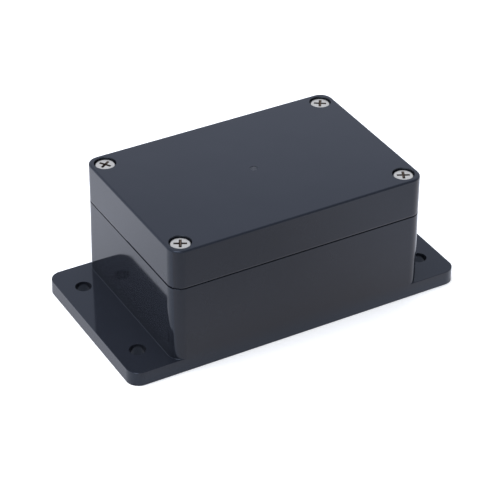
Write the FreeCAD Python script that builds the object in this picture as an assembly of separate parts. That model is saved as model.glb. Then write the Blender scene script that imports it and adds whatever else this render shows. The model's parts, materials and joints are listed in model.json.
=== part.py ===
import FreeCAD, Part

import math
import os

# Plastic project box: a drafted tub with two mounting flanges, a deep screw-down lid and a seal.
# Millimetres. The origin is the centre of the underside, +X runs from flange to flange, +Z is up.

# Outside of the box
box_length = 100.0
box_width = 68.0
box_height = 50.0
lid_height = 15.5
foot_length = 133.0
flange_thickness = 5.4
base_draft_deg = 0.5
box_corner_radius = 4.8
foot_corner_radius = 4.8
lid_edge_radius = 0.7
foot_edge_chamfer = 0.1
flange_cove = 0.1

# Mounting holes, a little nearer to the box than the flanges' middles and set in from its long sides
mounting_offset = 0.25
mounting_side_inset = 12.5
mounting_hole_diameter = 6.0

# Walls
base_wall = 2.6
floor_thickness = 2.8
lid_top_thickness = 2.6

# Seam and seal: a tongue on the base enters a groove in the lid and presses on the gasket
reveal_height = 0.45
reveal_depth = 0.6
tongue_thickness = 1.0
tongue_height = 2.0
tongue_clearance = 0.15
seal_rib = 1.05
gasket_height = 1.6
gasket_clearance = 0.08

# Lid screws, set in from the box's sides
screw_inset = 5.6
screw_diameter = 3.9
screw_length = 20.0
head_diameter = 7.5
head_height = 2.6
head_edge_width = 0.8
head_edge_height = 0.6
head_sink = 0.6
recess_diameter = 8.0
lid_bore_clearance = 0.3

# Cross recess in each screw head
cross_width = 4.6
cross_depth = 2.1
cross_wing_depth = 1.6
cross_arm = 1.0
cross_taper_deg = 26.5
cross_core_side = 1.5

# Screw posts and their brass inserts
post_radius = 5.0
post_blend_radius = 2.4
insert_diameter = 6.0
insert_length = 8.0
insert_sink = 0.3
insert_clearance = 0.03
thread_clearance = 0.05
tip_room = 4.0

# Circuit-board bosses on the floor
board_spacing_x = 72.0
board_spacing_y = 42.0
boss_diameter = 6.4
boss_height = 5.0
boss_pilot_diameter = 2.5
boss_pilot_depth = 6.0

# Card guides on the long walls: pairs of ribs with a slot for a board between them
guide_pitch = 18.0
guide_pairs = 4
guide_slot = 1.8
guide_rib = 1.1
guide_depth = 1.6
guide_rim_gap = 5.0
guide_lead = 1.2

# Gate mark at the middle of the lid
gate_diameter = 2.8
gate_depth = 0.12

# Each screw is left turned by its own angle
CORNERS = {
    "front_left": (-1, -1, -28.0),
    "front_right": (1, -1, -27.0),
    "back_left": (-1, 1, 33.0),
    "back_right": (1, 1, -33.0),
}

# Heights and places worked out from the sizes above
rim_z = box_height - lid_height
mounting_spacing_x = (box_length + foot_length) / 2 - 2 * mounting_offset
mounting_spacing_y = box_width - 2 * mounting_side_inset
screw_x = box_length / 2 - screw_inset
screw_y = box_width / 2 - screw_inset
head_seat_z = box_height - head_sink - head_height
insert_top_z = rim_z - insert_sink
groove_depth = tongue_height + gasket_height
tongue_inset = base_wall - tongue_thickness
groove_outer_inset = tongue_inset - tongue_clearance
groove_inner_inset = base_wall + tongue_clearance
lid_wall = groove_inner_inset + seal_rib
overlap = 1.0

# How near two lengths count as equal, and how upright an edge is taken to be upright
near = 0.001
upright_share = 0.9

UP = FreeCAD.Vector(0, 0, 1)


def at(x, y, z=0.0):
    return FreeCAD.Vector(x, y, z)


def cylinder(diameter, height, x, y, z):
    return Part.makeCylinder(diameter / 2, height, at(x, y, z), UP)


def block(x0, x1, y0, y1, z0, z1):
    low = at(min(x0, x1), min(y0, y1), z0)
    return Part.makeBox(abs(x1 - x0), abs(y1 - y0), z1 - z0, low)


def edges_at_height(shape, z):
    found = []
    for edge in shape.Edges:
        box = edge.BoundBox
        if abs(box.ZMin - z) < near and abs(box.ZMax - z) < near:
            found.append(edge)
    return found


def upright_edges(shape):
    found = []
    for edge in shape.Edges:
        ends = [v.Point for v in edge.Vertexes]
        if len(ends) == 2 and abs(ends[1].z - ends[0].z) > upright_share * edge.Length:
            found.append(edge)
    return found


def rounded_prism(length, width, radius, z0, z1):
    prism = block(-length / 2, length / 2, -width / 2, width / 2, z0, z1)
    return prism.makeFillet(radius, upright_edges(prism))


def drafted_prism(length, width, height, draft_deg, radius):
    # The sizes are those of the underside, and the sides lean in as they rise.
    lean = height * math.tan(math.radians(draft_deg))
    x = length / 2
    y = width / 2
    wedge = Part.makeWedge(-x, 0, -y, -y + lean, -x + lean, x, height, y, y - lean, x - lean)
    wedge.rotate(at(0, 0), at(1, 0), 90)
    return wedge.makeFillet(radius, upright_edges(wedge))


def line(start, end):
    return Part.LineSegment(start, end).toShape()


def arc(centre, radius, from_deg, to_deg):
    # An arc from three of its points, so that its ends meet the straight runs exactly.
    points = []
    for turn in (from_deg, (from_deg + to_deg) / 2, to_deg):
        a = math.radians(turn)
        points.append(centre + at(radius * math.cos(a), radius * math.sin(a)))
    return Part.Arc(*points).toShape()


def inner_outline(inset):
    # The closed line that stays inset from the box's sides and steps round the four screw posts.
    x = box_length / 2 - inset
    y = box_width / 2 - inset
    post = post_radius + inset - base_wall
    blend = post_blend_radius - inset + base_wall
    post_x = screw_x - post
    post_y = screw_y - post
    end_centre = at(x - blend, post_y - blend)
    side_centre = at(post_x - blend, y - blend)
    quarter = Part.Wire(
        [
            line(at(x, 0), at(x, post_y - blend)),
            arc(end_centre, blend, 0, 90),
            line(at(x - blend, post_y), at(screw_x, post_y)),
            arc(at(screw_x, screw_y), post, 270, 180),
            line(at(post_x, screw_y), at(post_x, y - blend)),
            arc(side_centre, blend, 0, 90),
            line(at(post_x - blend, y), at(0, y)),
        ]
    )
    half = [quarter, quarter.mirror(at(0, 0), at(1, 0))]
    loop = half + [piece.mirror(at(0, 0), at(0, 1)) for piece in half]
    edges = [edge for piece in loop for edge in piece.Edges]
    return Part.Wire(Part.__sortEdges__(edges))


def inner_prism(inset, z0, z1):
    wall = Part.Face(inner_outline(inset)).extrude(at(0, 0, z1 - z0))
    wall.translate(at(0, 0, z0))
    return wall.removeSplitter()


def inner_ring(outer_inset, inner_inset, z0, z1):
    return inner_prism(outer_inset, z0, z1).cut(inner_prism(inner_inset, z0, z1))


def corner_places():
    return [(sx * screw_x, sy * screw_y) for sx, sy, _ in CORNERS.values()]


def rectangle_places(spacing_x, spacing_y):
    return [(sx * spacing_x / 2, sy * spacing_y / 2) for sx in (-1, 1) for sy in (-1, 1)]


def base_lean(height):
    return height * math.tan(math.radians(base_draft_deg))


def make_tub():
    lean = base_lean(rim_z)
    length = box_length + 2 * lean
    width = box_width + 2 * lean
    return drafted_prism(length, width, rim_z, base_draft_deg, box_corner_radius)


def make_foot():
    # The plate's long edges lie in the planes of the tub's long walls.
    width = box_width + 2 * base_lean(rim_z)
    plate = drafted_prism(foot_length, width, flange_thickness, base_draft_deg, foot_corner_radius)
    return plate.makeChamfer(foot_edge_chamfer, edges_at_height(plate, flange_thickness))


def make_cove():
    # The small slope where the end walls stand on the flanges, kept within the flanges' flat tops.
    slab = block(-foot_length, foot_length, -foot_length, foot_length, 0, flange_thickness)
    joined = make_tub().fuse(slab)
    junction = []
    for edge in edges_at_height(joined, flange_thickness):
        if edge.BoundBox.XMax < foot_length / 2 and edge.BoundBox.XMin > -foot_length / 2:
            junction.append(edge)
    joined = joined.makeChamfer(flange_cove, junction)
    trim = base_lean(flange_thickness) + foot_edge_chamfer
    length = foot_length - 2 * trim
    width = box_width + 2 * base_lean(rim_z) - 2 * trim
    high = flange_thickness + flange_cove
    return joined.common(rounded_prism(length, width, foot_corner_radius - trim, flange_thickness, high))


def make_cavity():
    return inner_prism(base_wall, floor_thickness, rim_z + tongue_height + overlap)


def make_boss(x, y):
    # A round boss on the floor. Its blind pilot hole takes a self-tapping screw.
    return cylinder(boss_diameter, boss_height + overlap, x, y, floor_thickness - overlap)


def make_guide_rib(x, side):
    # One upright rib on a long wall, its top sloped to lead a board in.
    wall_y = box_width / 2 - base_wall
    top = rim_z - guide_rim_gap
    face_y = wall_y - guide_depth
    points = [
        at(0, wall_y + overlap, floor_thickness - overlap),
        at(0, face_y, floor_thickness - overlap),
        at(0, face_y, top - guide_lead),
        at(0, wall_y, top),
        at(0, wall_y + overlap, top),
    ]
    rib = Part.Face(Part.makePolygon(points + points[:1])).extrude(at(guide_rib, 0, 0))
    rib.translate(at(x - guide_rib / 2, 0, 0))
    if side < 0:
        rib = rib.mirror(at(0, 0), at(0, 1))
    return rib


def guide_rib_places():
    step = (guide_slot + guide_rib) / 2
    first = -guide_pitch * (guide_pairs - 1) / 2
    return [first + guide_pitch * i + side * step for i in range(guide_pairs) for side in (-1, 1)]


def make_tongue():
    return inner_ring(tongue_inset, base_wall, rim_z - overlap, rim_z + tongue_height)


def make_base():
    base = make_tub().fuse([make_foot(), make_cove()]).removeSplitter()
    base = base.cut(make_cavity())
    details = [make_boss(x, y) for x, y in rectangle_places(board_spacing_x, board_spacing_y)]
    details += [make_guide_rib(x, side) for x in guide_rib_places() for side in (-1, 1)]
    details.append(make_tongue())
    base = base.fuse(details).removeSplitter()
    pilot_z = floor_thickness + boss_height - boss_pilot_depth
    holes = []
    for x, y in rectangle_places(mounting_spacing_x, mounting_spacing_y):
        holes.append(cylinder(mounting_hole_diameter, flange_thickness + 2 * overlap, x, y, -overlap))
    for x, y in rectangle_places(board_spacing_x, board_spacing_y):
        holes.append(cylinder(boss_pilot_diameter, boss_pilot_depth + overlap, x, y, pilot_z))
    bore = insert_diameter + 2 * insert_clearance
    bore_z = insert_top_z - insert_length - tip_room
    for x, y in corner_places():
        holes.append(cylinder(bore, rim_z - bore_z + overlap, x, y, bore_z))
    return base.cut(holes)


def make_lid_shell():
    shell = rounded_prism(box_length, box_width, box_corner_radius, rim_z, box_height)
    return shell.makeFillet(lid_edge_radius, edges_at_height(shell, box_height))


def make_lid_cavity():
    return inner_prism(lid_wall, rim_z - overlap, box_height - lid_top_thickness)


def make_reveal():
    # The shallow step round the lid's foot that leaves a dark line at the seam.
    low = rim_z - overlap
    high = rim_z + reveal_height
    length = box_length - 2 * reveal_depth
    width = box_width - 2 * reveal_depth
    kept = rounded_prism(length, width, box_corner_radius - reveal_depth, low, high)
    return block(-box_length, box_length, -box_width, box_width, low, high).cut(kept)


def make_gate_mark():
    return cylinder(gate_diameter, gate_depth + overlap, 0, 0, box_height - gate_depth)


def make_lid():
    lid = make_lid_shell().cut(make_lid_cavity())
    lid = lid.cut(inner_ring(groove_outer_inset, groove_inner_inset, rim_z - overlap, rim_z + groove_depth))
    lid = lid.cut(make_reveal())
    bore = screw_diameter + 2 * lid_bore_clearance
    recess_depth = box_height - head_seat_z
    for x, y in corner_places():
        lid = lid.cut(cylinder(bore, lid_height + overlap, x, y, rim_z - overlap / 2))
        lid = lid.cut(cylinder(recess_diameter, recess_depth + overlap, x, y, head_seat_z))
    return lid.cut(make_gate_mark()).removeSplitter()


def make_gasket():
    z = rim_z + groove_depth
    outer = groove_outer_inset + gasket_clearance
    inner = groove_inner_inset - gasket_clearance
    return inner_ring(outer, inner, z - gasket_height, z)


def make_cross_arm():
    # One tapering slot, seen from the side: wide at the mouth and pointed at the foot.
    half = cross_width / 2
    low = half - cross_wing_depth * math.tan(math.radians(cross_taper_deg))
    points = [
        at(-half, 0, 0),
        at(-half, 0, overlap),
        at(half, 0, overlap),
        at(half, 0, 0),
        at(low, 0, -cross_wing_depth),
        at(0, 0, -cross_depth),
        at(-low, 0, -cross_wing_depth),
    ]
    slot = Part.Face(Part.makePolygon(points + points[:1])).extrude(at(0, cross_arm, 0))
    slot.translate(at(0, -cross_arm / 2, 0))
    return slot


def make_cross(turn_deg):
    across = make_cross_arm()
    along = make_cross_arm()
    along.rotate(at(0, 0), UP, 90)
    half = cross_core_side / 2
    core = block(-half, half, -half, half, -cross_depth, overlap)
    core.rotate(at(0, 0), UP, 45)
    cross = across.fuse([along, core])
    cross.rotate(at(0, 0), UP, turn_deg)
    return cross


def make_head():
    # A pan head, with a slope from its side to the flat round the cross.
    reach = head_diameter / 2
    points = [
        at(0, 0, 0),
        at(reach, 0, 0),
        at(reach, 0, head_height - head_edge_height),
        at(reach - head_edge_width, 0, head_height),
        at(0, 0, head_height),
    ]
    return Part.Face(Part.makePolygon(points + points[:1])).revolve(at(0, 0), UP, 360)


def make_screw(x, y, turn_deg):
    cross = make_cross(turn_deg)
    cross.translate(at(0, 0, head_height))
    shank = cylinder(screw_diameter, screw_length, 0, 0, -screw_length)
    screw = make_head().fuse(shank).cut(cross).removeSplitter()
    screw.translate(at(x, y, head_seat_z))
    return screw


def make_insert(x, y):
    # A plain brass bush, set a little below the post's top.
    z = insert_top_z - insert_length
    bore = screw_diameter + 2 * thread_clearance
    return cylinder(insert_diameter, insert_length, x, y, z).cut(cylinder(bore, insert_length, x, y, z))


def make_parts():
    parts = {"base": make_base(), "lid": make_lid(), "gasket": make_gasket()}
    for name, (sx, sy, turn_deg) in CORNERS.items():
        x = sx * screw_x
        y = sy * screw_y
        parts["lid_screw_" + name] = make_screw(x, y, turn_deg)
        parts["brass_insert_" + name] = make_insert(x, y)
    return parts


os.makedirs("parts", exist_ok=True)
for node, shape in make_parts().items():
    if len(shape.Solids) == 1:
        shape = shape.Solids[0]
    print(node, len(shape.Solids), shape.isValid(), round(shape.Volume, 1))
    shape.exportStep("parts/" + node + ".step")
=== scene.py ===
"""Looks of a plastic project box around its CAD frame: finishes, threads, knurls and studio."""
import json
import logging
import math
from dataclasses import dataclass
from enum import Enum

import bmesh
import bpy
from mathutils import Matrix, Vector

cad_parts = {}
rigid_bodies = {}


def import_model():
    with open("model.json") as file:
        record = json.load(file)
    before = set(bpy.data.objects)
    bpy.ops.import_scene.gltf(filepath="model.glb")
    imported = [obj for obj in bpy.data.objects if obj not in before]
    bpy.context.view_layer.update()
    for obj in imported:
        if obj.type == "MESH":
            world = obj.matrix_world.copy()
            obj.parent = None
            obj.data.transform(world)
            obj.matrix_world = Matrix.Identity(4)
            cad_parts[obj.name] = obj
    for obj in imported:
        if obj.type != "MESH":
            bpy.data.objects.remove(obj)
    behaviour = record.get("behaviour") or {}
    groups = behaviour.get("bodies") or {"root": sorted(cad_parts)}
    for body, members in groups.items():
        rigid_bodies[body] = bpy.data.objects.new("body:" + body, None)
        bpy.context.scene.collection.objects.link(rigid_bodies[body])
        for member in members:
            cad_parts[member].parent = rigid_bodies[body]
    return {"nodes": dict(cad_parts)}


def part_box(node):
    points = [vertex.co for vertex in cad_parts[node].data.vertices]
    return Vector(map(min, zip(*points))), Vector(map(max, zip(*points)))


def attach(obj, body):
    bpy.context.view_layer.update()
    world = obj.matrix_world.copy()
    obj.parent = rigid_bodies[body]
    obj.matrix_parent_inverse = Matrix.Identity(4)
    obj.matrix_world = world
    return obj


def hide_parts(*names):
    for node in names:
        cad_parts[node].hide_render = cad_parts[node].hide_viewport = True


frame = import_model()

Tree = bpy.types.NodeTree
Socket = bpy.types.NodeSocket
Pair = tuple[float, float]
Triple = tuple[float, float, float]

MM = 0.001
# Vertices closer than WELD become one, and heights closer than LEVEL count as the same
WELD = 0.0005 * MM
LEVEL = 0.001 * MM
# A vertex within HAIR of a flat's height belongs to that flat
HAIR = 0.01 * MM
# Edges that turn by more degrees than this stay sharp
SHARP_DEG = 32
LOG = logging.getLogger("project_box")
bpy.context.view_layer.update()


class Corner(Enum):
    """The four corners of the box, named as the CAD nodes are."""

    FRONT_LEFT = "front_left"
    FRONT_RIGHT = "front_right"
    BACK_LEFT = "back_left"
    BACK_RIGHT = "back_right"


class Rays(Enum):
    """Outputs of a Light Path node that see the pale surround."""

    CAMERA = "Is Camera Ray"
    GLOSSY = "Is Glossy Ray"
    TRANSMISSION = "Is Transmission Ray"


class Along(Enum):
    """Directions of the floor, as outputs of a Separate XYZ node."""

    LENGTH = "X"
    WIDTH = "Y"


def link(tree: Tree, source: Socket, target: Socket) -> None:
    """Joins two sockets of a tree."""
    tree.links.new(source, target)


def add(tree: Tree, kind: str, **settings: object) -> bpy.types.Node:
    """Adds a node and sets its properties.

    Args:
        tree: The tree that gets the node.
        kind: Blender's name of the node type.
        settings: Properties of the node, by name.

    Returns:
        The new node.
    """
    node = tree.nodes.new(kind)
    for name, value in settings.items():
        setattr(node, name, value)
    return node


def maths(tree: Tree, operation: str, *values: float | Socket) -> Socket:
    """Adds a Math node.

    Args:
        tree: The tree that gets the node.
        operation: Blender's name of the operation.
        values: A number or a socket for each input.

    Returns:
        The node's result.
    """
    node = add(tree, "ShaderNodeMath", operation=operation)
    for socket, value in zip(node.inputs, values):
        if isinstance(value, Socket):
            link(tree, value, socket)
        else:
            socket.default_value = value
    return node.outputs[0]


def ramp(tree: Tree, value: Socket, span: Pair, ends: Pair) -> Socket:
    """Adds a smooth ramp.

    Args:
        tree: The tree that gets it.
        value: What it reads.
        span: The values between which it changes.
        ends: Its results at and past those two values.

    Returns:
        The result.
    """
    node = add(tree, "ShaderNodeMapRange", interpolation_type="SMOOTHSTEP")
    link(tree, value, node.inputs["Value"])
    for name, number in zip(("From Min", "From Max", "To Min", "To Max"), span + ends):
        node.inputs[name].default_value = number
    return node.outputs["Result"]


def blend(tree: Tree, share: Socket, first: Triple | Socket, second: Triple) -> Socket:
    """Adds a blend of two colours.

    Args:
        tree: The tree that gets it.
        share: The second colour's share, from 0 to 1.
        first: The first colour, or the socket that gives it.
        second: The second colour.

    Returns:
        The blend.
    """
    node = add(tree, "ShaderNodeMix", data_type="RGBA")
    link(tree, share, node.inputs["Factor"])
    if isinstance(first, Socket):
        link(tree, first, node.inputs["A"])
    else:
        node.inputs["A"].default_value = (*first, 1.0)
    node.inputs["B"].default_value = (*second, 1.0)
    return node.outputs["Result"]


def ray_masks(tree: Tree) -> dict[Rays, Socket]:
    """Adds the masks of the rays that see the pale surround.

    Args:
        tree: A world's or a floor material's own tree.

    Returns:
        The mask of each kind of ray.
    """
    path = add(tree, "ShaderNodeLightPath")
    return {rays: path.outputs[rays.value] for rays in Rays}


@dataclass(frozen=True)
class Relief:
    """Sizes of the small unevenness of a surface, in metres, and the spread of its gloss.

    The seam is a level slot round the object. Its lips stay sharp where they have no radius.
    """

    grain_size: float
    grain_depth: float
    wave_size: float
    wave_depth: float
    scratch_spacing: float
    scratch_depth: float
    roughness_low: float
    roughness_high: float
    seam_middle: float = 0.0
    seam_half: float = 0.0
    lip_radius: float = 0.0


@dataclass(frozen=True)
class Mark:
    """A small round mark on top of a moulding, where it was cut from its sprue; sizes in metres."""

    radius: float
    above: float
    grain_size: float
    tone: Triple
    roughness: float


class ShaderGroup:
    """A shader group that several materials use, each with its own values."""

    NAME = ""
    INPUTS: tuple[str, ...] = ()
    OUTPUTS: dict[str, str] = {}

    def __init__(self) -> None:
        """Makes the group with its sockets, and fills it in."""
        self.tree = bpy.data.node_groups.new(self.NAME, "ShaderNodeTree")
        for name in self.INPUTS:
            self.tree.interface.new_socket(name, in_out="INPUT", socket_type="NodeSocketFloat")
        for name, kind in self.OUTPUTS.items():
            self.tree.interface.new_socket(name, in_out="OUTPUT", socket_type=kind)
        self.given = add(self.tree, "NodeGroupInput").outputs
        self.place = add(self.tree, "ShaderNodeTexCoord").outputs["Object"]
        out = add(self.tree, "NodeGroupOutput")
        for name, socket in self._results().items():
            link(self.tree, socket, out.inputs[name])

    def _results(self) -> dict[str, Socket]:
        """Fills the group in and gives the socket of each output."""
        raise NotImplementedError

    def _noise(self, size: str, detail: float, place: Socket | None = None) -> Socket:
        """Adds a noise whose cells have a named size.

        Args:
            size: The group's input that gives the size of a cell.
            detail: Octaves of the noise.
            place: Where it is read, or None for the surface's own place.

        Returns:
            The noise, from 0 to 1.
        """
        noise = add(self.tree, "ShaderNodeTexNoise")
        noise.inputs["Detail"].default_value = detail
        link(self.tree, self.place if place is None else place, noise.inputs["Vector"])
        link(self.tree, maths(self.tree, "DIVIDE", 1.0, self.given[size]), noise.inputs["Scale"])
        return noise.outputs[0]

    def place_in(self, tree: Tree, values: Relief | Mark) -> bpy.types.NodeOutputs:
        """Places the group in a material.

        Args:
            tree: The material's tree.
            values: This material's values, in fields that are named as the inputs are.

        Returns:
            The outputs of the group's node.
        """
        node = add(tree, "ShaderNodeGroup", node_tree=self.tree)
        for name in self.INPUTS:
            node.inputs[name].default_value = getattr(values, name.lower().replace(" ", "_"))
        return node.outputs


class ReliefGroup(ShaderGroup):
    """The shared group that turns a Relief into a normal, a roughness and a tone mask."""

    NAME = "surface_relief"
    INPUTS = (
        "Grain Size",
        "Grain Depth",
        "Wave Size",
        "Wave Depth",
        "Scratch Spacing",
        "Scratch Depth",
        "Roughness Low",
        "Roughness High",
        "Seam Middle",
        "Seam Half",
        "Lip Radius",
    )
    OUTPUTS = {"Normal": "NodeSocketVector", "Roughness": "NodeSocketFloat", "Tone": "NodeSocketFloat"}
    SCRATCH_STRETCH = (1.0, 0.03, 1.0)
    SCRATCH_TURN = (0.3, 0.5, 0.9)
    SCRATCH_SHARPNESS = 60.0
    SCRATCH_DULLNESS = 0.5

    def _scratches(self) -> Socket:
        """Adds thin long scratches.

        Returns:
            1 in the middle of a scratch and 0 beside it.
        """
        tree = self.tree
        along = add(tree, "ShaderNodeMapping")
        along.inputs["Scale"].default_value = self.SCRATCH_STRETCH
        along.inputs["Rotation"].default_value = self.SCRATCH_TURN
        link(tree, self.place, along.inputs["Vector"])
        streak = self._noise("Scratch Spacing", detail=2.0, place=along.outputs[0])
        narrow = maths(tree, "ABSOLUTE", maths(tree, "SUBTRACT", streak, 0.5))
        beside = maths(tree, "MINIMUM", maths(tree, "MULTIPLY", narrow, self.SCRATCH_SHARPNESS), 1.0)
        return maths(tree, "SUBTRACT", 1.0, beside)

    def _lip_drop(self) -> Socket:
        """Rounds the lips above and below the seam.

        Returns:
            How far the surface falls away towards the seam.
        """
        tree, given = self.tree, self.given
        parts = add(tree, "ShaderNodeSeparateXYZ")
        link(tree, self.place, parts.inputs[0])
        off = maths(tree, "SUBTRACT", parts.outputs["Z"], given["Seam Middle"])
        beyond = maths(tree, "SUBTRACT", maths(tree, "ABSOLUTE", off), given["Seam Half"])
        share = maths(tree, "DIVIDE", beyond, given["Lip Radius"])
        share = maths(tree, "MAXIMUM", maths(tree, "MINIMUM", share, 1.0), 0.0)
        bend = maths(tree, "POWER", maths(tree, "SUBTRACT", 1.0, share), 2.0)
        return maths(tree, "MULTIPLY", bend, given["Lip Radius"])

    def _results(self) -> dict[str, Socket]:
        """Joins grain, waves, scratches and lips into one height, and grain and scratches into gloss.

        Returns:
            The socket of each output.
        """
        tree, given = self.tree, self.given
        grain = self._noise("Grain Size", detail=3.0)
        wave = self._noise("Wave Size", detail=1.0)
        scratch = self._scratches()
        height = maths(tree, "MULTIPLY", grain, given["Grain Depth"])
        height = maths(tree, "MULTIPLY_ADD", wave, given["Wave Depth"], height)
        height = maths(tree, "SUBTRACT", height, maths(tree, "MULTIPLY", scratch, given["Scratch Depth"]))
        height = maths(tree, "SUBTRACT", height, self._lip_drop())
        bump = add(tree, "ShaderNodeBump")
        bump.inputs["Strength"].default_value = 1.0
        bump.inputs["Distance"].default_value = 1.0
        link(tree, height, bump.inputs["Height"])
        spread = maths(tree, "SUBTRACT", given["Roughness High"], given["Roughness Low"])
        gloss = maths(tree, "MULTIPLY_ADD", grain, spread, given["Roughness Low"])
        duller = maths(tree, "MULTIPLY", spread, self.SCRATCH_DULLNESS)
        gloss = maths(tree, "MULTIPLY_ADD", scratch, duller, gloss)
        return {"Normal": bump.outputs[0], "Roughness": gloss, "Tone": wave}


class MarkGroup(ShaderGroup):
    """The shared group that turns a Mark into a mask and a speckle."""

    NAME = "sprue_mark"
    INPUTS = ("Radius", "Above", "Grain Size")
    OUTPUTS = {"Mask": "NodeSocketFloat", "Speckle": "NodeSocketFloat"}
    SPECKLE_SPAN = (0.42, 0.60)

    def _results(self) -> dict[str, Socket]:
        """Joins a disc round the Z axis with a height limit, and speckles it.

        Returns:
            The socket of each output.
        """
        tree = self.tree
        parts = add(tree, "ShaderNodeSeparateXYZ")
        link(tree, self.place, parts.inputs[0])
        squares = [maths(tree, "MULTIPLY", parts.outputs[axis], parts.outputs[axis]) for axis in "XY"]
        reach = maths(tree, "SQRT", maths(tree, "ADD", *squares))
        inside = maths(tree, "LESS_THAN", reach, self.given["Radius"])
        above = maths(tree, "GREATER_THAN", parts.outputs["Z"], self.given["Above"])
        mask = maths(tree, "MULTIPLY", inside, above)
        speckle = ramp(tree, self._noise("Grain Size", detail=2.0), self.SPECKLE_SPAN, (0.0, 1.0))
        return {"Mask": mask, "Speckle": maths(tree, "MULTIPLY", mask, speckle)}


@dataclass(frozen=True)
class Finish:
    """A finish of one of the box's pieces."""

    name: str
    tone_low: Triple
    tone_high: Triple
    relief: Relief
    metallic: float = 0.0
    ior: float = 1.5
    shine_tint: Triple = (1.0, 1.0, 1.0)
    mark: Mark | None = None

    def build(self, reliefs: ReliefGroup, marks: MarkGroup) -> bpy.types.Material:
        """Makes the material.

        Args:
            reliefs: The shared relief group.
            marks: The shared mark group.

        Returns:
            The material, ready to assign.
        """
        material = bpy.data.materials.new(self.name)
        material.use_nodes = True
        tree = material.node_tree
        shader = tree.nodes["Principled BSDF"]
        shader.inputs["Metallic"].default_value = self.metallic
        shader.inputs["IOR"].default_value = self.ior
        shader.inputs["Specular Tint"].default_value = (*self.shine_tint, 1.0)
        relief = reliefs.place_in(tree, self.relief)
        colour = blend(tree, relief["Tone"], self.tone_low, self.tone_high)
        roughness = relief["Roughness"]
        if self.mark:
            mark = marks.place_in(tree, self.mark)
            colour = blend(tree, mark["Speckle"], colour, self.mark.tone)
            rougher = maths(tree, "MULTIPLY", mark["Mask"], self.mark.roughness)
            roughness = maths(tree, "MAXIMUM", roughness, rougher)
        link(tree, colour, shader.inputs["Base Color"])
        link(tree, roughness, shader.inputs["Roughness"])
        link(tree, relief["Normal"], shader.inputs["Normal"])
        material.diffuse_color = (*self.tone_high, 1.0)
        return material


HOUSING_PLASTIC = Finish(
    name="housing_plastic_finish",
    tone_low=(0.0112, 0.0128, 0.0175),
    tone_high=(0.0138, 0.0154, 0.0207),
    relief=Relief(
        grain_size=0.9 * MM,
        grain_depth=0.0006 * MM,
        wave_size=14.0 * MM,
        wave_depth=0.014 * MM,
        scratch_spacing=1.1 * MM,
        scratch_depth=0.0002 * MM,
        roughness_low=0.05,
        roughness_high=0.09,
        seam_middle=34.725 * MM,
        seam_half=0.225 * MM,
        lip_radius=0.2 * MM,
    ),
    shine_tint=(0.70, 0.82, 1.0),
    mark=Mark(
        radius=1.4 * MM,
        above=49.8 * MM,
        grain_size=0.4 * MM,
        tone=(0.050, 0.051, 0.054),
        roughness=0.4,
    ),
)
SEAL_RUBBER = Finish(
    name="seal_rubber_finish",
    tone_low=(0.17, 0.17, 0.17),
    tone_high=(0.22, 0.22, 0.215),
    relief=Relief(
        grain_size=0.3 * MM,
        grain_depth=0.006 * MM,
        wave_size=8.0 * MM,
        wave_depth=0.02 * MM,
        scratch_spacing=2.0 * MM,
        scratch_depth=0.0,
        roughness_low=0.55,
        roughness_high=0.7,
    ),
)
SCREW_STEEL = Finish(
    name="screw_steel_finish",
    tone_low=(0.78, 0.765, 0.70),
    tone_high=(0.84, 0.825, 0.765),
    relief=Relief(
        grain_size=0.25 * MM,
        grain_depth=0.0015 * MM,
        wave_size=3.0 * MM,
        wave_depth=0.004 * MM,
        scratch_spacing=0.4 * MM,
        scratch_depth=0.0015 * MM,
        roughness_low=0.24,
        roughness_high=0.36,
    ),
    metallic=1.0,
)
# Painted shade: the cross recess gets a dark brownish steel that stands in for the shade inside it
RECESS_PAINTED_SHADE = Finish(
    name="recess_painted_shade_finish",
    tone_low=(0.11, 0.085, 0.066),
    tone_high=(0.22, 0.17, 0.132),
    relief=Relief(
        grain_size=0.2 * MM,
        grain_depth=0.004 * MM,
        wave_size=2.0 * MM,
        wave_depth=0.006 * MM,
        scratch_spacing=0.4 * MM,
        scratch_depth=0.0015 * MM,
        roughness_low=0.38,
        roughness_high=0.55,
    ),
    metallic=1.0,
)
INSERT_BRASS = Finish(
    name="insert_brass_finish",
    tone_low=(0.62, 0.43, 0.17),
    tone_high=(0.74, 0.54, 0.25),
    relief=Relief(
        grain_size=0.3 * MM,
        grain_depth=0.002 * MM,
        wave_size=3.0 * MM,
        wave_depth=0.005 * MM,
        scratch_spacing=0.5 * MM,
        scratch_depth=0.002 * MM,
        roughness_low=0.22,
        roughness_high=0.34,
    ),
    metallic=1.0,
)


class Finishes:
    """All the box's materials, built once from one relief group and one mark group."""

    def __init__(self) -> None:
        """Builds every material."""
        groups = (ReliefGroup(), MarkGroup())
        self.plastic = HOUSING_PLASTIC.build(*groups)
        self.rubber = SEAL_RUBBER.build(*groups)
        self.steel = SCREW_STEEL.build(*groups)
        self.recess_shade = RECESS_PAINTED_SHADE.build(*groups)
        self.brass = INSERT_BRASS.build(*groups)


def new_object(name: str, mesh: bpy.types.Mesh) -> bpy.types.Object:
    """Links a mesh to the scene as an object at the origin.

    Args:
        name: The object's name.
        mesh: Its mesh.

    Returns:
        The object.
    """
    made = bpy.data.objects.new(name, mesh)
    bpy.context.scene.collection.objects.link(made)
    return made


def turned_sizes(node: str) -> tuple[Vector, float, float, float]:
    """Measures a CAD node that is round about an upright axis.

    Args:
        node: The node's name.

    Returns:
        Its axis at height 0, its bottom, its top and its radius.
    """
    low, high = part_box(node)
    axis = Vector(((low[0] + high[0]) / 2, (low[1] + high[1]) / 2, 0.0))
    return axis, low[2], high[2], (high[0] - low[0]) / 2


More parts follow.
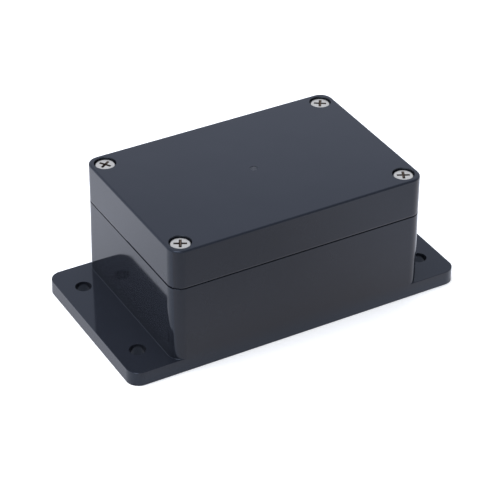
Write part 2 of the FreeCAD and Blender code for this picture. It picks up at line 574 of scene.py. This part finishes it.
def lathe(bm: bmesh.types.BMesh, outline: list[Pair], centre: Vector, steps: int) -> None:
    """Adds a turned wall to a mesh, open at its first and last ring.

    Args:
        bm: The mesh that gets it.
        outline: Radius and height of each ring, in order.
        centre: Where radius 0 and height 0 lie.
        steps: Facets round the turn.
    """
    rings = []
    turns = [2 * math.pi * i / steps for i in range(steps)]
    for radius, height in outline:
        places = [Vector((radius * math.cos(turn), radius * math.sin(turn), height)) for turn in turns]
        rings.append([bm.verts.new(centre + place) for place in places])
    for low, high in zip(rings, rings[1:]):
        for i in range(steps):
            j = (i + 1) % steps
            bm.faces.new([low[i], low[j], high[j], high[i]])


def take_mesh(bm: bmesh.types.BMesh, mesh: bpy.types.Mesh) -> None:
    """Adds a mesh to a bmesh, in the first slot, and forgets the mesh.

    Args:
        bm: The bmesh that gets it.
        mesh: The mesh.
    """
    for face in mesh.polygons:
        face.material_index = 0
    bm.from_mesh(mesh)
    bpy.data.meshes.remove(mesh)


def close_between(bm: bmesh.types.BMesh, height: float, tolerance: float = 2 * LEVEL) -> None:
    """Closes a flat ring, or a flat ring between two loops, at one height.

    Args:
        bm: The mesh, with its open edges at that height.
        height: The height.
        tolerance: How far an edge may lie from it.
    """
    rim = [e for e in bm.edges if e.is_boundary and all(abs(v.co.z - height) < tolerance for v in e.verts)]
    bmesh.ops.triangle_fill(bm, edges=rim, use_beauty=True, use_dissolve=False)


def dressed_piece(
    name: str, bm: bmesh.types.BMesh, materials: list[bpy.types.Material]
) -> bpy.types.Object:
    """Turns a bmesh into a finished piece with outward faces and smooth shading.

    Args:
        name: The piece's name.
        bm: Its mesh, which is freed.
        materials: Its materials, in the order of its slots.

    Returns:
        The piece.
    """
    bmesh.ops.recalc_face_normals(bm, faces=bm.faces)
    mesh = bpy.data.meshes.new(name)
    bm.to_mesh(mesh)
    bm.free()
    for material in materials:
        mesh.materials.append(material)
    mesh.shade_smooth()
    mesh.set_sharp_from_angle(angle=math.radians(SHARP_DEG))
    return new_object(name, mesh)


class WallTree:
    """A Geometry Nodes tree that bends a flat grid into a turned wall, open at both ends."""

    NAME = ""
    SIZES: tuple[str, ...] = ()

    def __post_init__(self) -> None:
        """Makes the tree's sockets, keeps the identifiers of its inputs, and fills it in."""
        self.tree = bpy.data.node_groups.new(self.NAME, "GeometryNodeTree")
        face = self.tree.interface
        face.new_socket("Geometry", in_out="INPUT", socket_type="NodeSocketGeometry")
        kinds = dict.fromkeys(self.SIZES, "NodeSocketFloat")
        kinds |= {"Axis": "NodeSocketVector", "Material": "NodeSocketMaterial"}
        self.ids: dict[str, str] = {}
        for name, kind in kinds.items():
            self.ids[name] = face.new_socket(name, in_out="INPUT", socket_type=kind).identifier
        face.new_socket("Geometry", in_out="OUTPUT", socket_type="NodeSocketGeometry")
        self.given = add(self.tree, "NodeGroupInput").outputs
        self._build()

    def _build(self) -> None:
        """Fills the tree in."""
        raise NotImplementedError

    def _grid(self) -> tuple[bpy.types.Node, Socket, Socket]:
        """Adds the flat grid, a metre square.

        Returns:
            The grid's node, and each vertex's share of the way across it and along it.
        """
        grid = add(self.tree, "GeometryNodeMeshGrid")
        grid.inputs["Size X"].default_value = 1.0
        grid.inputs["Size Y"].default_value = 1.0
        place = add(self.tree, "ShaderNodeSeparateXYZ")
        link(self.tree, add(self.tree, "GeometryNodeInputPosition").outputs[0], place.inputs[0])
        across, along = (maths(self.tree, "ADD", place.outputs[axis], 0.5) for axis in "XY")
        return grid, across, along

    def _bend(self, grid: bpy.types.Node, radius: Socket, turned: Socket, height: Socket) -> None:
        """Moves the grid's vertices round the axis, welds them, makes them real and dresses them.

        Args:
            grid: The grid's node.
            radius: Each vertex's distance from the axis.
            turned: Its place round the axis, in whole turns.
            height: Its height.
        """
        tree = self.tree
        angle = maths(tree, "MULTIPLY", turned, 2 * math.pi)
        point = add(tree, "ShaderNodeCombineXYZ")
        for name, operation in (("X", "COSINE"), ("Y", "SINE")):
            link(tree, maths(tree, "MULTIPLY", radius, maths(tree, operation, angle)), point.inputs[name])
        link(tree, height, point.inputs["Z"])
        centred = add(tree, "ShaderNodeVectorMath", operation="ADD")
        link(tree, point.outputs[0], centred.inputs[0])
        link(tree, self.given["Axis"], centred.inputs[1])
        moved = add(tree, "GeometryNodeSetPosition")
        link(tree, grid.outputs["Mesh"], moved.inputs["Geometry"])
        link(tree, centred.outputs[0], moved.inputs["Position"])
        welded = add(tree, "GeometryNodeMergeByDistance")
        welded.inputs["Distance"].default_value = WELD
        link(tree, moved.outputs[0], welded.inputs["Geometry"])
        real = add(tree, "GeometryNodeRealizeInstances")
        link(tree, welded.outputs[0], real.inputs[0])
        dressed = add(tree, "GeometryNodeSetMaterial")
        link(tree, real.outputs[0], dressed.inputs["Geometry"])
        link(tree, self.given["Material"], dressed.inputs["Material"])
        link(tree, dressed.outputs[0], add(tree, "NodeGroupOutput").inputs[0])

    def wall(self, **values: object) -> bpy.types.Mesh:
        """Runs the tree once and gives its result as a plain mesh.

        Args:
            values: The tree's inputs, with _ for the spaces in their names.

        Returns:
            The wall, open at both ends.
        """
        carrier = new_object("carrier", bpy.data.meshes.new("carrier"))
        modifier = carrier.modifiers.new("grow", "NODES")
        modifier.node_group = self.tree
        for name, value in values.items():
            modifier[self.ids[name.replace("_", " ")]] = value
        graph = bpy.context.evaluated_depsgraph_get()
        mesh = bpy.data.meshes.new_from_object(carrier.evaluated_get(graph))
        carrier.modifiers.clear()
        bpy.data.objects.remove(carrier)
        return mesh


@dataclass
class ThreadTree(WallTree):
    """The wall of a screw thread, outside or inside.

    Its rows climb with the helix, so every crest and root is a clean line. Rows past either end fall
    together on one flat ring, and all threads start from the same height, so that they mesh. Half the
    flat at the root is a share of the pitch.
    """

    NAME = "thread_wall"
    SIZES = ("Bottom", "Top", "Root Radius", "Crest Radius", "Tip Radius", "Pitch", "Phase", "Fade")

    steps: int = 36
    rows_each_turn: int = 8
    half_root_flat: float = 0.125

    def _ridge(self, climb: Socket) -> Socket:
        """Adds the thread's section, from 0 at its root to 1 at its crest.

        Args:
            climb: Turns climbed along the thread at each vertex.

        Returns:
            The section.
        """
        tree = self.tree
        phase = maths(tree, "FRACT", maths(tree, "ADD", climb, self.given["Phase"]))
        from_middle = maths(tree, "ABSOLUTE", maths(tree, "SUBTRACT", phase, 0.5))
        section = add(tree, "ShaderNodeMapRange")
        section.inputs["From Min"].default_value = self.half_root_flat
        section.inputs["From Max"].default_value = 0.5
        link(tree, from_middle, section.inputs["Value"])
        return section.outputs["Result"]

    def _build(self) -> None:
        """Works out where the grid's rows and columns lie on the thread."""
        tree, given = self.tree, self.given
        bottom, top, pitch, root = (given[name] for name in ("Bottom", "Top", "Pitch", "Root Radius"))
        first = maths(tree, "SUBTRACT", maths(tree, "FLOOR", maths(tree, "DIVIDE", bottom, pitch)), 1.0)
        turns = maths(tree, "SUBTRACT", maths(tree, "CEIL", maths(tree, "DIVIDE", top, pitch)), first)
        grid, around, along = self._grid()
        grid.inputs["Vertices X"].default_value = self.steps + 1
        rows = maths(tree, "MULTIPLY_ADD", turns, float(self.rows_each_turn), 1.0)
        link(tree, rows, grid.inputs["Vertices Y"])
        climb = maths(tree, "MULTIPLY", along, turns)
        turn = maths(tree, "ADD", maths(tree, "ADD", first, climb), around)
        free = maths(tree, "MULTIPLY", turn, pitch)
        height = maths(tree, "MAXIMUM", maths(tree, "MINIMUM", free, top), bottom)
        from_bottom = maths(tree, "SUBTRACT", height, bottom)
        from_end = maths(tree, "MINIMUM", from_bottom, maths(tree, "SUBTRACT", top, height))
        fade = maths(tree, "MINIMUM", maths(tree, "DIVIDE", from_end, given["Fade"]), 1.0)
        ridge = maths(tree, "MULTIPLY", self._ridge(climb), fade)
        depth = maths(tree, "SUBTRACT", given["Crest Radius"], root)
        radius = maths(tree, "MULTIPLY_ADD", ridge, depth, root)
        radius = maths(tree, "MINIMUM", radius, maths(tree, "ADD", given["Tip Radius"], from_bottom))
        self._bend(grid, radius, around, height)


@dataclass
class KnurlTree(WallTree):
    """One knurled band, with teeth that lean round the turn."""

    NAME = "knurled_band"
    SIZES = ("Bottom", "Top", "Radius", "Depth", "Teeth", "Lean")

    steps_each_tooth: int = 4
    rows: int = 7

    def _build(self) -> None:
        """Works out where the grid's rows and columns lie on the band."""
        tree, given = self.tree, self.given
        grid, around, climb = self._grid()
        grid.inputs["Vertices Y"].default_value = self.rows
        steps = maths(tree, "MULTIPLY_ADD", given["Teeth"], float(self.steps_each_tooth), 1.0)
        link(tree, steps, grid.inputs["Vertices X"])
        count = maths(tree, "MULTIPLY", around, given["Teeth"])
        leaning = maths(tree, "MULTIPLY", climb, given["Lean"])
        turned = maths(tree, "DIVIDE", maths(tree, "ADD", count, leaning), given["Teeth"])
        tooth = maths(tree, "ABSOLUTE", maths(tree, "SUBTRACT", maths(tree, "FRACT", count), 0.5))
        from_end = maths(tree, "MINIMUM", climb, maths(tree, "SUBTRACT", 1.0, climb))
        proud = maths(tree, "MINIMUM", maths(tree, "MULTIPLY", from_end, float(self.rows - 1)), 1.0)
        level = maths(tree, "SUBTRACT", 1.0, proud)
        share = maths(tree, "MAXIMUM", maths(tree, "MULTIPLY", tooth, 2.0), level)
        radius = maths(tree, "SUBTRACT", given["Radius"], maths(tree, "MULTIPLY", share, given["Depth"]))
        span = maths(tree, "SUBTRACT", given["Top"], given["Bottom"])
        height = maths(tree, "MULTIPLY_ADD", climb, span, given["Bottom"])
        self._bend(grid, radius, turned, height)


@dataclass
class LidScrew:
    """A pan-head screw with a rolled thread, in place of the plain CAD screw at one corner.

    The crown is the head's rounded side. Its flat and its bow are shares of its width and its drop.
    The slack is the share of a radius by which a vertex may miss it and still count.
    """

    corner: Corner
    finishes: Finishes
    threads: ThreadTree
    pitch: float = 0.7 * MM
    root_radius: float = 1.55 * MM
    crest_radius: float = 1.95 * MM
    tip_radius: float = 1.25 * MM
    neck: float = 1.6 * MM
    fade: float = 0.9 * MM
    shank_radius: float = 1.95 * MM
    crown_drop: float = 0.75 * MM
    crown_flat: float = 0.55
    crown_bow: float = 0.13
    crown_steps: int = 8
    rim_slack: float = 0.02
    cross_lip: float = 0.05 * MM

    def __post_init__(self) -> None:
        """Finds the screw's axis, tip and head in its CAD node."""
        self.node = "lid_screw_" + self.corner.value
        self.axis, self.tip, self.top, self.head_radius = turned_sizes(self.node)

    def _reach(self, vertex: bmesh.types.BMVert) -> float:
        """Distance of a vertex from the screw's axis."""
        return (vertex.co - self.axis).to_2d().length

    def _crown(self, flat: float) -> list[Pair]:
        """Works out the head's rounded side.

        Args:
            flat: Radius of the flat round the cross.

        Returns:
            Radius and height of each ring, from just past the flat down to the seat.
        """
        reach, drop = self.head_radius, self.crown_drop
        shoulder = flat + self.crown_flat * (reach - flat)
        guides = ((flat, 0.0), (shoulder, 0.0), (reach, -self.crown_bow * drop), (reach, -drop))
        outline = []
        for i in range(1, self.crown_steps + 1):
            t = i / self.crown_steps
            weights = ((1 - t) ** 3, 3 * t * (1 - t) ** 2, 3 * t * t * (1 - t), t ** 3)
            radius, fall = (sum(w * guide[k] for w, guide in zip(weights, guides)) for k in (0, 1))
            outline.append((radius, self.top + fall))
        return outline + [(reach, self.seat)]

    def _head(self) -> bmesh.types.BMesh:
        """Keeps the flat and the cross of the CAD screw and rounds the head's side below them.

        Returns:
            The head, open at its seat, with its cross in the second slot, which holds the painted shade of
            the recess.
        """
        bm = bmesh.new()
        bm.from_mesh(frame["nodes"][self.node].data)
        bmesh.ops.remove_doubles(bm, verts=bm.verts, dist=WELD)
        rim_reach = (1 - self.rim_slack) * self.head_radius
        self.seat = min(v.co.z for v in bm.verts if self._reach(v) > rim_reach)
        flat = max(self._reach(v) for v in bm.verts if v.co.z > self.top - HAIR)
        kept_reach = (1 + self.rim_slack) * flat
        gone = [v for v in bm.verts if self._reach(v) > kept_reach or v.co.z < self.seat + HAIR]
        bmesh.ops.delete(bm, geom=gone, context="VERTS")
        # Faces below the lip of the cross get the recess's painted shade
        for face in bm.faces:
            face.material_index = int(face.calc_center_median().z < self.top - self.cross_lip)
        cx, cy = self.axis.x, self.axis.y
        rim = {v for e in bm.edges if e.is_boundary for v in e.verts}
        ring = sorted(rim, key=lambda v: math.atan2(v.co.y - cy, v.co.x - cx))
        aims = [(v.co - self.axis).to_2d().normalized() for v in ring]
        for radius, height in self._crown(flat):
            lower = [bm.verts.new((cx + radius * a.x, cy + radius * a.y, height)) for a in aims]
            for i in range(len(ring)):
                j = (i + 1) % len(ring)
                bm.faces.new([ring[i], lower[i], lower[j], ring[j]])
            ring = lower
        return bm

    def build(self) -> bpy.types.Object:
        """Builds the screw, dresses it and puts it on its body.

        Returns:
            The finished piece.
        """
        bm = self._head()
        shank_top = self.seat - self.neck
        wall = self.threads.wall(
            Bottom=self.tip,
            Top=shank_top,
            Root_Radius=self.root_radius,
            Crest_Radius=self.crest_radius,
            Tip_Radius=self.tip_radius,
            Pitch=self.pitch,
            Phase=0.0,
            Fade=self.fade,
            Axis=self.axis,
            Material=self.finishes.steel,
        )
        take_mesh(bm, wall)
        close_between(bm, self.tip)
        neck = [(self.root_radius, shank_top), (self.shank_radius, self.seat)]
        lathe(bm, neck, self.axis, self.threads.steps)
        bmesh.ops.remove_doubles(bm, verts=bm.verts, dist=WELD)
        close_between(bm, self.seat)
        piece = dressed_piece(self.node + "_threaded", bm, [self.finishes.steel, self.finishes.recess_shade])
        for face in piece.data.polygons:
            face.use_smooth = face.center.z < self.top - LEVEL
        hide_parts(self.node)
        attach(piece, "screw_" + self.corner.value)
        return piece


@dataclass
class ThreadedInsert:
    """A knurled brass bush with a threaded bore, in place of the plain CAD bush at one corner."""

    corner: Corner
    finishes: Finishes
    threads: ThreadTree
    knurls: KnurlTree
    pitch: float = 0.7 * MM
    bore_root_radius: float = 2.0 * MM
    bore_crest_radius: float = 1.63 * MM
    mouth: float = 0.4 * MM
    knurl_depth: float = 0.22 * MM
    teeth: int = 30
    lean: float = 2.0
    waist_depth: float = 0.4 * MM
    waist_height: float = 1.4 * MM
    end_chamfer: float = 0.3 * MM

    def __post_init__(self) -> None:
        """Finds the bush's axis, ends and radius in its CAD node."""
        self.node = "brass_insert_" + self.corner.value
        self.axis, self.bottom, self.top, self.radius = turned_sizes(self.node)

    def _bore(self) -> bpy.types.Mesh:
        """Makes the threaded bore; its tip is as wide as can be, so that it has no taper."""
        return self.threads.wall(
            Bottom=self.bottom,
            Top=self.top,
            Root_Radius=self.bore_root_radius,
            Crest_Radius=self.bore_crest_radius,
            Tip_Radius=2 * self.bore_root_radius,
            Pitch=self.pitch,
            Phase=0.5,
            Fade=self.mouth,
            Axis=self.axis,
            Material=self.finishes.brass,
        )

    def _band(self, low: float, high: float, lean: float) -> bpy.types.Mesh:
        """Makes one knurled band.

        Args:
            low: Its bottom.
            high: Its top.
            lean: By how many teeth it leans.

        Returns:
            The band.
        """
        return self.knurls.wall(
            Bottom=low,
            Top=high,
            Radius=self.radius,
            Depth=self.knurl_depth,
            Teeth=float(self.teeth),
            Lean=lean,
            Axis=self.axis,
            Material=self.finishes.brass,
        )

    def build(self) -> bpy.types.Object:
        """Builds the bush, dresses it and puts it on its body.

        Returns:
            The finished piece.
        """
        middle = (self.bottom + self.top) / 2
        foot, brow = self.bottom + self.end_chamfer, self.top - self.end_chamfer
        low, high = middle - self.waist_height / 2, middle + self.waist_height / 2
        bm = bmesh.new()
        take_mesh(bm, self._bore())
        take_mesh(bm, self._band(foot, low, self.lean))
        take_mesh(bm, self._band(high, brow, -self.lean))
        steps = self.teeth * self.knurls.steps_each_tooth
        root = self.radius - self.knurl_depth
        neck, end = self.radius - self.waist_depth, root - self.end_chamfer
        lathe(bm, [(root, low), (neck, low), (neck, high), (root, high)], self.axis, steps)
        lathe(bm, [(end, self.bottom), (root, foot)], self.axis, steps)
        lathe(bm, [(root, brow), (end, self.top)], self.axis, steps)
        bmesh.ops.remove_doubles(bm, verts=bm.verts, dist=2 * WELD)
        close_between(bm, self.bottom)
        close_between(bm, self.top)
        piece = dressed_piece(self.node + "_knurled", bm, [self.finishes.brass])
        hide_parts(self.node)
        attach(piece, "base")
        return piece


@dataclass
class Housing:
    """The two mouldings and the seal, which stay as the CAD made them and get their finishes here."""

    plastic_nodes: tuple[str, ...] = ("base", "lid")
    seal_node: str = "gasket"

    def dress(self, finishes: Finishes) -> None:
        """Gives each node its finish.

        Args:
            finishes: The box's materials.
        """
        for name in self.plastic_nodes:
            self._assign(name, finishes.plastic)
        self._assign(self.seal_node, finishes.rubber)

    @staticmethod
    def _assign(name: str, material: bpy.types.Material) -> None:
        """Puts a material in every slot of a CAD node.

        Args:
            name: The node's name.
            material: The material.
        """
        for slot in frame["nodes"][name].material_slots:
            slot.material = material
        LOG.info("%s: %s", name, material.name)


@dataclass(frozen=True)
class Slope:
    """A smooth change of the mirrored floor in one direction, in metres from the box's middle."""

    along: Along
    span: Pair
    ends: Pair

    def add_to(self, tree: Tree, place: bpy.types.NodeOutputs) -> Socket:
        """Adds the slope to the floor's tree."""
        return ramp(tree, place[self.along.value], self.span, self.ends)


@dataclass(frozen=True)
class Lobe:
    """A round patch of the mirrored surround; its span holds cosines of angles from its aim."""

    aim: Triple
    span: Pair
    ends: Pair

    def add_to(self, tree: Tree, look: Socket) -> Socket:
        """Adds the patch to the world's tree.

        Args:
            tree: The world's tree.
            look: The direction that a ray looks in.

        Returns:
            The patch's value.
        """
        toward = add(tree, "ShaderNodeVectorMath", operation="DOT_PRODUCT")
        link(tree, look, toward.inputs[0])
        toward.inputs[1].default_value = self.aim
        return ramp(tree, toward.outputs["Value"], self.span, self.ends)


@dataclass(frozen=True)
class Softbox:
    """A soft square lamp that faces the object and isn't mirrored in it; its energy is in watts."""

    name: str
    place: Triple
    size: float
    energy: float
    tint: Triple = (1.0, 1.0, 1.0)

    def build(self) -> None:
        """Adds the lamp to the scene."""
        data = bpy.data.lights.new(self.name, "AREA")
        data.color = self.tint
        data.size = self.size
        data.energy = self.energy
        lamp = bpy.data.objects.new(self.name, data)
        bpy.context.scene.collection.objects.link(lamp)
        place = Vector(self.place)
        turn = (-place).to_track_quat("-Z", "Y").to_matrix().to_4x4()
        lamp.matrix_world = Matrix.Translation(place) @ turn
        lamp.visible_glossy = False


@dataclass
class Studio:
    """The pale floor, the soft lights and the camera."""

    floor_size: float = 6.0
    floor_gap: float = 0.2 * MM
    floor_tone: float = 0.86
    floor_lift: float = 0.40
    # In glossy rays the floor is mostly a glow of painted light, warm in front and cool behind and to the
    # right
    mirrored_share: float = 0.8
    mirrored_front: Triple = (0.955, 0.82, 0.765)
    mirrored_back: Triple = (0.98, 0.99, 1.09)
    bright_right: Slope = Slope(Along.LENGTH, span=(0.0, 0.08), ends=(0.61, 1.04))
    bright_beside: Slope = Slope(Along.WIDTH, span=(-0.10, -0.034), ends=(0.0, 0.22))
    bright_behind: Slope = Slope(Along.WIDTH, span=(0.02, 0.08), ends=(0.0, 0.30))
    dim_far_front: Slope = Slope(Along.WIDTH, span=(-0.30, -0.12), ends=(0.05, 1.0))
    cool_behind: Slope = Slope(Along.WIDTH, span=(-0.045, -0.034), ends=(0.0, 1.0))
    cool_right: Slope = Slope(Along.LENGTH, span=(0.02, 0.08), ends=(0.0, 0.45))
    # Painted shadow: the share of the glow kept under the box's footprint
    under_box_shaded_share: float = 0.6
    footprint: Pair = (0.0665, 0.034)
    surround_light: float = 0.75
    surround_tint: Triple = (0.97, 0.985, 1.02)
    mirrored_tint: Triple = (0.85, 0.88, 1.0)
    band_rise: Pair = (0.505, 0.565)
    band_strength: Pair = (0.87, 0.66)
    opening: Lobe = Lobe(aim=(0.45, -0.65, 0.61), span=(0.72, 0.93), ends=(1.0, 0.40))
    patch: Lobe = Lobe(aim=(-0.35, -0.20, 0.915), span=(0.93, 0.965), ends=(0.0, 3.0))
    softboxes: tuple[Softbox, ...] = (
        Softbox("side_softbox", place=(-0.85, 0.25, 0.45), size=0.6, energy=4.0),
        Softbox("top_softbox", place=(-0.15, 0.15, 1.0), size=0.7, energy=7.5, tint=(0.92, 1.0, 1.18)),
    )
    camera_place: Triple = (-0.314074, -0.546380, 0.445902)
    camera_aim: Triple = (-0.00816, -0.00489, 0.02500)
    camera_roll_deg: float = 0.352
    lens: float = 158.13
    sensor_width: float = 36.0
    near_limit: float = 0.01

    def _mirrored_floor(self, tree: Tree) -> Socket:
        """Adds the floor as glossy pieces mirror it: a glow of painted light, brighter behind the box than
        in front of it, with painted shade under the box.

        Args:
            tree: The floor material's tree.

        Returns:
            The shader.
        """
        parts = add(tree, "ShaderNodeSeparateXYZ")
        link(tree, add(tree, "ShaderNodeTexCoord").outputs["Object"], parts.inputs[0])
        place = parts.outputs
        right, beside, behind, far_front, cool_behind, cool_right = (
            slope.add_to(tree, place)
            for slope in (
                self.bright_right,
                self.bright_beside,
                self.bright_behind,
                self.dim_far_front,
                self.cool_behind,
                self.cool_right,
            )
        )
        strength = maths(tree, "ADD", right, maths(tree, "ADD", beside, behind))
        strength = maths(tree, "MULTIPLY", strength, far_front)
        # Painted shade under the box's footprint: the glow keeps only a share there
        past = [
            maths(tree, "GREATER_THAN", maths(tree, "ABSOLUTE", place[along.value]), reach)
            for along, reach in zip(Along, self.footprint)
        ]
        lit = maths(tree, "MAXIMUM", maths(tree, "MAXIMUM", *past), self.under_box_shaded_share)
        cool = maths(tree, "MAXIMUM", cool_behind, cool_right)
        glow = add(tree, "ShaderNodeEmission")
        link(tree, blend(tree, cool, self.mirrored_front, self.mirrored_back), glow.inputs["Color"])
        link(tree, maths(tree, "MULTIPLY", strength, lit), glow.inputs["Strength"])
        return glow.outputs[0]

    def _paper(self) -> bpy.types.Material:
        """Makes the floor's pale paper.

        Returns:
            The material.
        """
        material = bpy.data.materials.new("studio_floor_paper")
        material.use_nodes = True
        tree = material.node_tree
        tree.nodes.clear()
        paper = add(tree, "ShaderNodeBsdfDiffuse")
        paper.inputs["Color"].default_value = (self.floor_tone, self.floor_tone, self.floor_tone, 1.0)
        masks = ray_masks(tree)
        seen = maths(tree, "MAXIMUM", masks[Rays.CAMERA], masks[Rays.TRANSMISSION])
        lift = add(tree, "ShaderNodeEmission")
        link(tree, maths(tree, "MULTIPLY", seen, self.floor_lift), lift.inputs["Strength"])
        both = add(tree, "ShaderNodeAddShader")
        link(tree, paper.outputs[0], both.inputs[0])
        link(tree, lift.outputs[0], both.inputs[1])
        # Glossy rays see mostly the painted glow in place of the lit paper
        mix = add(tree, "ShaderNodeMixShader")
        link(tree, maths(tree, "MULTIPLY", masks[Rays.GLOSSY], self.mirrored_share), mix.inputs[0])
        link(tree, both.outputs[0], mix.inputs[1])
        link(tree, self._mirrored_floor(tree), mix.inputs[2])
        link(tree, mix.outputs[0], add(tree, "ShaderNodeOutputMaterial").inputs["Surface"])
        return material

    def _floor(self) -> None:
        """Builds the floor, which keeps the object's shadow."""
        bm = bmesh.new()
        lowered = Matrix.Translation((0.0, 0.0, -self.floor_gap))
        bmesh.ops.create_grid(bm, x_segments=1, y_segments=1, size=self.floor_size / 2, matrix=lowered)
        mesh = bpy.data.meshes.new("studio_floor")
        bm.to_mesh(mesh)
        bm.free()
        mesh.materials.append(self._paper())
        new_object("studio_floor", mesh)

    def _mirrored_strength(self, tree: Tree) -> Socket:
        """Adds the surround's strength in mirrored rays: brighter low down, dim at the open front.

        Args:
            tree: The world's tree.

        Returns:
            The strength.
        """
        look = add(tree, "ShaderNodeTexCoord").outputs["Object"]
        rise = add(tree, "ShaderNodeSeparateXYZ")
        link(tree, look, rise.inputs[0])
        band = ramp(tree, rise.outputs["Z"], self.band_rise, self.band_strength)
        opening, patch = (lobe.add_to(tree, look) for lobe in (self.opening, self.patch))
        return maths(tree, "MULTIPLY_ADD", band, opening, patch)

    def _world(self) -> None:
        """Builds the white surround, dimmer as a light than as a background."""
        world = bpy.data.worlds.new("studio_surround")
        bpy.context.scene.world = world
        world.use_nodes = True
        tree = world.node_tree
        tree.nodes.clear()
        light, mirrored, seen = (add(tree, "ShaderNodeBackground") for _ in range(3))
        light.inputs["Color"].default_value = (*self.surround_tint, 1.0)
        light.inputs["Strength"].default_value = self.surround_light
        mirrored.inputs["Color"].default_value = (*self.mirrored_tint, 1.0)
        link(tree, self._mirrored_strength(tree), mirrored.inputs["Strength"])
        seen.inputs["Color"].default_value = (1.0, 1.0, 1.0, 1.0)
        masks = ray_masks(tree)
        surface = light.outputs[0]
        for rays, layer in ((Rays.GLOSSY, mirrored), (Rays.TRANSMISSION, seen), (Rays.CAMERA, seen)):
            mix = add(tree, "ShaderNodeMixShader")
            link(tree, masks[rays], mix.inputs[0])
            link(tree, surface, mix.inputs[1])
            link(tree, layer.outputs[0], mix.inputs[2])
            surface = mix.outputs[0]
        link(tree, surface, add(tree, "ShaderNodeOutputWorld").inputs["Surface"])

    def _camera(self) -> None:
        """Places the camera at the photograph's viewing angle."""
        data = bpy.data.cameras.new("camera")
        data.lens = self.lens
        data.sensor_width = self.sensor_width
        data.clip_start = self.near_limit
        camera = bpy.data.objects.new("camera", data)
        bpy.context.scene.collection.objects.link(camera)
        place = Vector(self.camera_place)
        turn = (Vector(self.camera_aim) - place).to_track_quat("-Z", "Y").to_matrix().to_4x4()
        roll = Matrix.Rotation(math.radians(self.camera_roll_deg), 4, "Z")
        camera.matrix_world = Matrix.Translation(place) @ turn @ roll
        bpy.context.scene.camera = camera

    def build(self) -> None:
        """Builds the whole studio."""
        bpy.context.scene.view_settings.view_transform = "Standard"
        self._floor()
        self._world()
        for softbox in self.softboxes:
            softbox.build()
        self._camera()
        LOG.info("studio: floor, surround, %d lamps, camera", len(self.softboxes))


def main() -> None:
    """Builds the looks in order."""
    logging.basicConfig(level=logging.INFO, format="%(name)s %(message)s")
    finishes = Finishes()
    Housing().dress(finishes)
    threads = ThreadTree()
    knurls = KnurlTree()
    for corner in Corner:
        screw = LidScrew(corner, finishes, threads).build()
        insert = ThreadedInsert(corner, finishes, threads, knurls).build()
        LOG.info("%s: %d faces", screw.name, len(screw.data.polygons))
        LOG.info("%s: %d faces", insert.name, len(insert.data.polygons))
    Studio().build()


if __name__ == "__main__":
    main()
